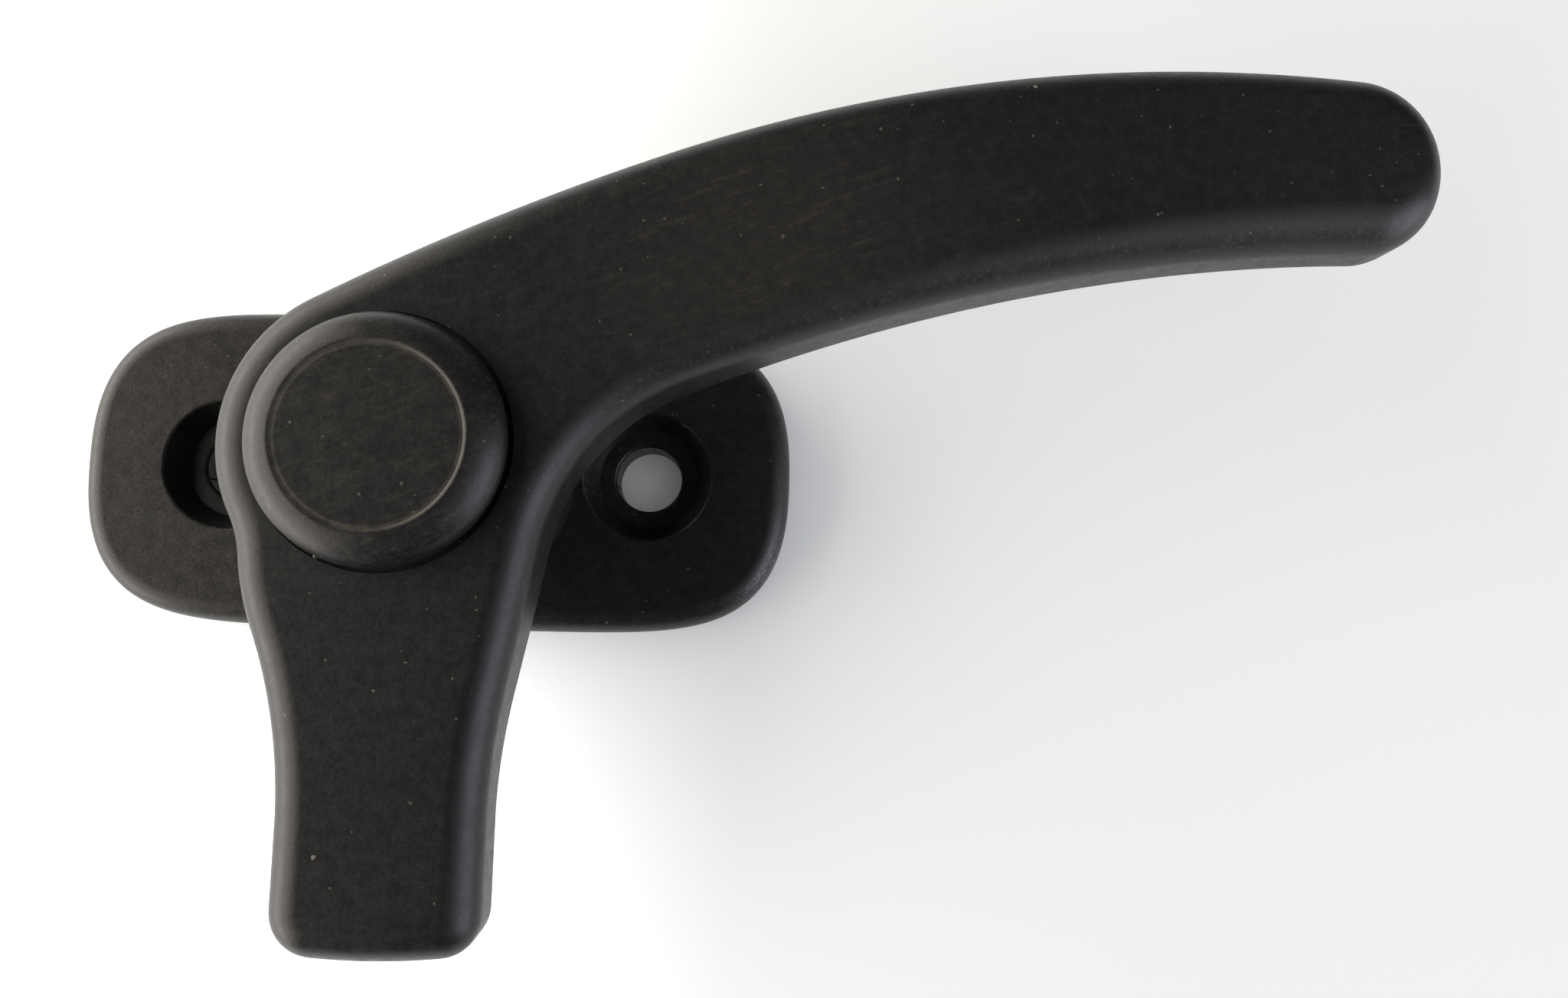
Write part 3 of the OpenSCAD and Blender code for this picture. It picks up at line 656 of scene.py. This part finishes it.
# Steel and nylon inside the pivot
STEEL_CLOUD_WAVES, BRUSH_WAVES, BRUSH_STRETCH, BRUSH_ANGLE = 160, 900, (1, 14, 1), 35
BRUSH_SMOOTHER, BRUSH_ROUGHER, BRUSH_DEPTH, BRUSH_STRENGTH = 0.08, 0.10, 0.004, 0.5
NYLON_ROUGH, NYLON_GLOW, NYLON_GLOW_DEPTH, NYLON_CLOUD_WAVES = 0.5, 0.15, 0.5, 300
NYLON_GRAIN_WAVES, NYLON_GRAIN_DEPTH, NYLON_GRAIN_STRENGTH = 3000, 0.005, 0.5


def moulding(name, dust_level, streak_level, streak_angle, shift, ring_level=0.0, scuff_glint_point=None,
             pale_patch_point=None, shade_fade_x=None):
    """Fine matte black moulding with a film of dust, specks, faint scratches, rubbed edges with painted
    glints, and where asked a lighter patch and painted shade that thins the dust along X.

    shift moves the patterns, so that no two pieces have the same.
    """
    f = Finish(name, ROUGH_MEAN, ior=MOULDING_IOR)
    place = f.stretched((1, 1, 1), shift=shift)
    cloud = f.noise(CLOUD_WAVES, 3, 0.6, place)
    mottle = f.noise(MOTTLE_WAVES, 3, 0.65, place)
    grain = f.noise(GRAIN_WAVES, 2, 0.6, place)
    fine = f.noise(FINE_WAVES, 2, 0.6, place)

    # Slightly uneven black
    patchy = f.math("ADD", f.times(cloud, 0.7), f.times(mottle, 0.3))
    tone = f.mix(f.span(patchy, 0.38, 0.64), BLACK, BLACK_WARM)

    # Film of dust on what looks up; where asked it thins along X, which is painted shade on that end of the
    # piece
    film = f.times(f.span(fine, 0.40, 0.64), f.span(mottle, 0.28, 0.68, 0.30, 1))
    film = f.times(film, f.facing_up(0.45, 0.95))
    # Less dust towards +X darkens that end: painted shade
    if shade_fade_x:
        film = f.times(film, f.along_x(*shade_fade_x, 1, SHADE_FADE_LEVEL))
    tone = f.mix(f.times(film, dust_level), tone, DUST)

    # Wiping streaks, and where asked a lighter patch on the top face
    streaks = f.noise(STREAK_WAVES, 2, 0.6, f.stretched(STREAK_STRETCH, streak_angle, shift))
    streaks = f.times(f.span(streaks, 0.46, 0.74), f.span(mottle, 0.35, 0.65, 0.2, 1))
    tone = f.mix(f.times(streaks, streak_level), tone, DUST)
    if pale_patch_point:
        pale_patch = f.times(f.near(pale_patch_point, *PALE_PATCH_REACH), f.span(streaks, 0.0, 0.8, 0.5, 1))
        pale_patch = f.times(pale_patch, f.facing_up(0.90, 1.0))
        tone = f.mix(f.times(pale_patch, PALE_PATCH_LEVEL), tone, DUST)

    # Thin bent scratches in a few places
    bent = f.math("ABSOLUTE", f.math("SUBTRACT", f.noise(SCRATCH_WAVES, 1, 0.5, place), 0.5))
    scratched = f.span(f.noise(SCRATCHED_WAVES, 1, 0.5, place), 0.60, 0.66)
    scratch = f.times(f.span(bent, 0.002, 0.007, 1, 0), scratched)
    tone = f.mix(f.times(scratch, SCRATCH_LEVEL), tone, DUST)

    # Edge rounds, rubbed a little all round and more at one point where asked; the lighter grains there are
    # wear and painted glints
    slanted = f.times(f.facing_up(0.10, 0.45), f.math("SUBTRACT", 1.0, f.facing_up(0.80, 0.98)))
    rubbed_glints = f.times(f.span(grain, 0.52, 0.75), slanted)
    tone = f.mix(f.times(rubbed_glints, RUBBED_GLINT_LEVEL), tone, SCUFF_GLINT)
    if scuff_glint_point:
        scuff_glints = f.times(f.near(scuff_glint_point, *SCUFF_GLINT_REACH), f.span(fine, 0.42, 0.70))
        tone = f.mix(f.times(f.times(scuff_glints, slanted), SCUFF_GLINT_LEVEL), tone, SCUFF_GLINT)

    # Dust in the groove round the cap's disc
    if ring_level:
        dusty = f.times(f.ring(CAP_RING_R, RING_CORE, RING_W), f.span(mottle, 0.25, 0.70, 0.45, 1))
        tone = f.mix(f.times(dusty, ring_level), tone, RING_DUST)

    # Specks that have settled on top
    settled = f.facing_up(0.25, 0.70)
    uneven = f.warped(place, SPECK_WARP_WAVES, SPECK_WARP)
    for scale, size, empty, strength in SPECK_KINDS:
        reach = f.span(f.cells(scale, uneven, "Color"), empty, SPECK_FULL, 0.0, size)
        spot = f.times(f.math("LESS_THAN", f.cells(scale, uneven), reach), settled)
        tone = f.mix(f.times(spot, strength), tone, SPECK)

    f.colour(tone)
    gloss = f.math("ADD", f.times(mottle, 0.5), f.times(grain, 0.5))
    f.roughness(f.span(gloss, 0.35, 0.65, *ROUGH_RANGE))
    f.bump(grain, GRAIN_DEPTH, GRAIN_STRENGTH)
    f.bump(fine, FINE_DEPTH, FINE_STRENGTH)
    return f.material


def steel(name, base, tint, roughness):
    """Slightly cloudy metal with fine brush marks."""
    f = Finish(name, roughness, metallic=1.0)
    cloud = f.noise(STEEL_CLOUD_WAVES, 3)
    brushed = f.noise(BRUSH_WAVES, 2, 0.6, f.stretched(BRUSH_STRETCH, BRUSH_ANGLE))
    f.colour(f.mix(f.span(cloud, 0.35, 0.7), base, tint))
    f.roughness(f.span(brushed, 0.3, 0.7, roughness - BRUSH_SMOOTHER, roughness + BRUSH_ROUGHER))
    f.bump(brushed, BRUSH_DEPTH, BRUSH_STRENGTH)
    return f.material


def nylon(name, base, tint):
    """Slightly cloudy nylon that lets a little light in."""
    f = Finish(name, NYLON_ROUGH)
    f.shader.inputs["Subsurface Weight"].default_value = NYLON_GLOW
    f.shader.inputs["Subsurface Scale"].default_value = NYLON_GLOW_DEPTH * MM
    f.colour(f.mix(f.span(f.noise(NYLON_CLOUD_WAVES, 3), 0.35, 0.7), base, tint))
    f.bump(f.noise(NYLON_GRAIN_WAVES, 2), NYLON_GRAIN_DEPTH, NYLON_GRAIN_STRENGTH)
    return f.material


def assign(obj, material):
    obj.data.materials.clear()
    obj.data.materials.append(material)


# Pieces
lever = build_lever()
plate = build_plate()
cap = build_cap()
assign(lever, moulding("lever_black", dust_level=0.045, streak_level=0.03, streak_angle=20,
                       shift=(0.3, 0.1, 0.0), pale_patch_point=PALE_PATCH_POINT))
assign(plate, moulding("plate_black", dust_level=0.29, streak_level=0.05, streak_angle=12,
                       shift=(0.7, 0.4, 0.2), scuff_glint_point=SCUFF_GLINT_POINT, shade_fade_x=SHADE_FADE_X))
assign(cap, moulding("cap_black", dust_level=0.10, streak_level=0.17, streak_angle=22,
                     shift=(0.1, 0.9, 0.5), ring_level=0.45))
for piece, node, body, slot in ((lever, "lever", "lever", "black_moulding"),
                                (plate, "base_plate", "base", "black_moulding"),
                                (cap, "pivot_cap", "lever", "black_cap")):
    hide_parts(node)
    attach(piece, body)

zinc = steel("zinc_plate", base=(0.56, 0.57, 0.58), tint=(0.66, 0.66, 0.62), roughness=0.34)
spring = steel("spring_blue_grey", base=(0.30, 0.30, 0.31), tint=(0.38, 0.36, 0.33), roughness=0.38)
natural = nylon("natural_nylon", base=(0.80, 0.76, 0.66), tint=(0.74, 0.70, 0.60))
blue = nylon("blue_nylon", base=(0.05, 0.16, 0.44), tint=(0.04, 0.13, 0.38))
for material, nodes in ((zinc, ("pivot_bolt", "pivot_sleeve", "plain_washer", "lock_nut")),
                        (spring, ("disc_spring",)),
                        (natural, ("thrust_washer", "friction_washer")),
                        (blue, ("lock_nut_insert",))):
    for node in nodes:
        assign(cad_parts[node], material)


# Floor, light and camera, in metres
FLOOR_R, FLOOR_FADE_R, FLOOR_DROP = 0.34, 0.12, 0.00005
# Floor colour and glow go from the left values to the right ones along X: painted light falloff away from
# the large wall
FLOOR_FALLOFF_X, GLOW_FALLOFF_X = (-0.03, 0.07), (-0.03, 0.033)
FLOOR_LEFT, FLOOR_RIGHT = (0.82, 0.835, 0.85), (0.62, 0.63, 0.64)
GLOW_LEFT, GLOW_RIGHT = 0.90, 0.40
PAINTED_SHADOW_REACH = 0.016
WHITE = (1, 1, 0.99)
WORLD_LIGHT = (0.03, 0.03, 0.032)
WARM, WARMER, COOL, NEUTRAL = (1.0, 0.94, 0.86), (1.0, 0.93, 0.84), (0.88, 0.92, 1.0), (1.0, 0.98, 0.95)
CAMERA_PLACE, CAMERA_TURN = (0.023747, -0.010833, 0.103196), (5.4288, -2.7156, 1.4459)
CAMERA_LENS, CAMERA_SENSOR_W, CAMERA_CLIP = 27.07, 36, 0.001


def build_floor():
    """Round pale sheet with the object's shadow, white at its edge; its colour and glow are painted
    brighter towards the large wall as painted light falloff, and the glow is dimmed near the object as a
    painted shadow.
    """
    bm = bmesh.new()
    bmesh.ops.create_circle(bm, cap_ends=True, segments=TURN_STEPS, radius=FLOOR_R)
    floor = to_object("floor", bm)
    floor.location.z = -FLOOR_DROP
    f = Nodes("floor_white")
    x = f.axis(f.place, "X")
    away = f.vector("LENGTH", f.place).outputs["Value"]
    diffuse = f.tree.nodes.new("ShaderNodeBsdfDiffuse")
    # Floor colour painted paler towards the large wall: painted light falloff
    f.put(f.mix(f.span(x, *FLOOR_FALLOFF_X), FLOOR_LEFT, FLOOR_RIGHT), diffuse.inputs["Color"])

    # Pale glow that lights nothing: painted brighter towards the large wall as light falloff, and dimmed
    # close to the object by ambient occlusion as a painted shadow
    path = f.tree.nodes.new("ShaderNodeLightPath")
    seen = f.math("MAXIMUM", path.outputs["Is Camera Ray"], path.outputs["Is Glossy Ray"])
    seen = f.math("MAXIMUM", seen, path.outputs["Is Transmission Ray"])
    # Ambient occlusion darkens the glow under and around the object: a painted shadow
    painted_shadow = f.tree.nodes.new("ShaderNodeAmbientOcclusion")
    painted_shadow.inputs["Distance"].default_value = PAINTED_SHADOW_REACH
    level = f.math("MAXIMUM", f.span(x, *GLOW_FALLOFF_X, GLOW_LEFT, GLOW_RIGHT),
                   f.span(away, FLOOR_FADE_R, FLOOR_R))
    level = f.times(f.times(level, painted_shadow.outputs["AO"]), seen)
    glow = f.tree.nodes.new("ShaderNodeEmission")
    glow.inputs["Color"].default_value = (*WHITE, 1)
    f.put(level, glow.inputs["Strength"])

    both = f.tree.nodes.new("ShaderNodeAddShader")
    f.put(diffuse.outputs[0], both.inputs[0])
    f.put(glow.outputs[0], both.inputs[1])
    f.put(both.outputs[0], f.surface)
    assign(floor, f.material)


def build_world():
    """White where the camera sees past the floor, and a dim even light on the object."""
    world = bpy.data.worlds.new("studio")
    bpy.context.scene.world = world
    world.use_nodes = True
    tree = world.node_tree
    tree.nodes.clear()
    output = tree.nodes.new("ShaderNodeOutputWorld")
    background = tree.nodes.new("ShaderNodeBackground")
    path = tree.nodes.new("ShaderNodeLightPath")
    shown = tree.nodes.new("ShaderNodeMix")
    shown.data_type = "RGBA"
    shown.inputs["A"].default_value = (*WORLD_LIGHT, 1)
    shown.inputs["B"].default_value = (*WHITE, 1)
    tree.links.new(path.outputs["Is Camera Ray"], shown.inputs["Factor"])
    tree.links.new(shown.outputs["Result"], background.inputs["Color"])
    tree.links.new(background.outputs[0], output.inputs["Surface"])


def panel(name, place, target, width, height, power, colour):
    """A soft rectangular light that looks at a target."""
    light = bpy.data.lights.new(name, "AREA")
    light.shape = "RECTANGLE"
    light.size = width
    light.size_y = height
    light.energy = power
    light.color = colour
    obj = bpy.data.objects.new(name, light)
    obj.location = place
    obj.rotation_euler = (Vector(target) - Vector(place)).to_track_quat("-Z", "Y").to_euler()
    bpy.context.scene.collection.objects.link(obj)


def build_camera():
    """The photo's view."""
    data = bpy.data.cameras.new("photo_camera")
    data.sensor_width = CAMERA_SENSOR_W
    data.lens = CAMERA_LENS
    data.clip_start = CAMERA_CLIP
    camera = bpy.data.objects.new("photo_camera", data)
    camera.location = CAMERA_PLACE
    camera.rotation_euler = Euler([math.radians(a) for a in CAMERA_TURN], "XYZ")
    bpy.context.scene.collection.objects.link(camera)
    bpy.context.scene.camera = camera


build_floor()
build_world()
panel("wall_left", place=(-0.36, 0.04, 0.25), target=(0.0, 0.04, 0.25), width=0.95, height=0.50,
      power=5.3, colour=WARM)
panel("low_left", place=(-0.355, 0.04, 0.06), target=(0.0, 0.04, 0.06), width=0.95, height=0.12,
      power=1.2, colour=WARMER)
panel("window_right", place=(0.415, -0.15, 0.19), target=(0.0, 0.0, 0.19), width=0.34, height=0.37,
      power=1.34, colour=COOL)
panel("wall_right", place=(0.32, -0.12, 0.42), target=(0.0, 0.0, 0.02), width=0.40, height=0.30,
      power=0.24, colour=COOL)
panel("fill_back", place=(0.10, 0.50, 0.14), target=(0.02, 0.0, 0.14), width=0.60, height=0.26,
      power=0.05, colour=NEUTRAL)
build_camera()
bpy.context.scene.view_settings.view_transform = "Standard"
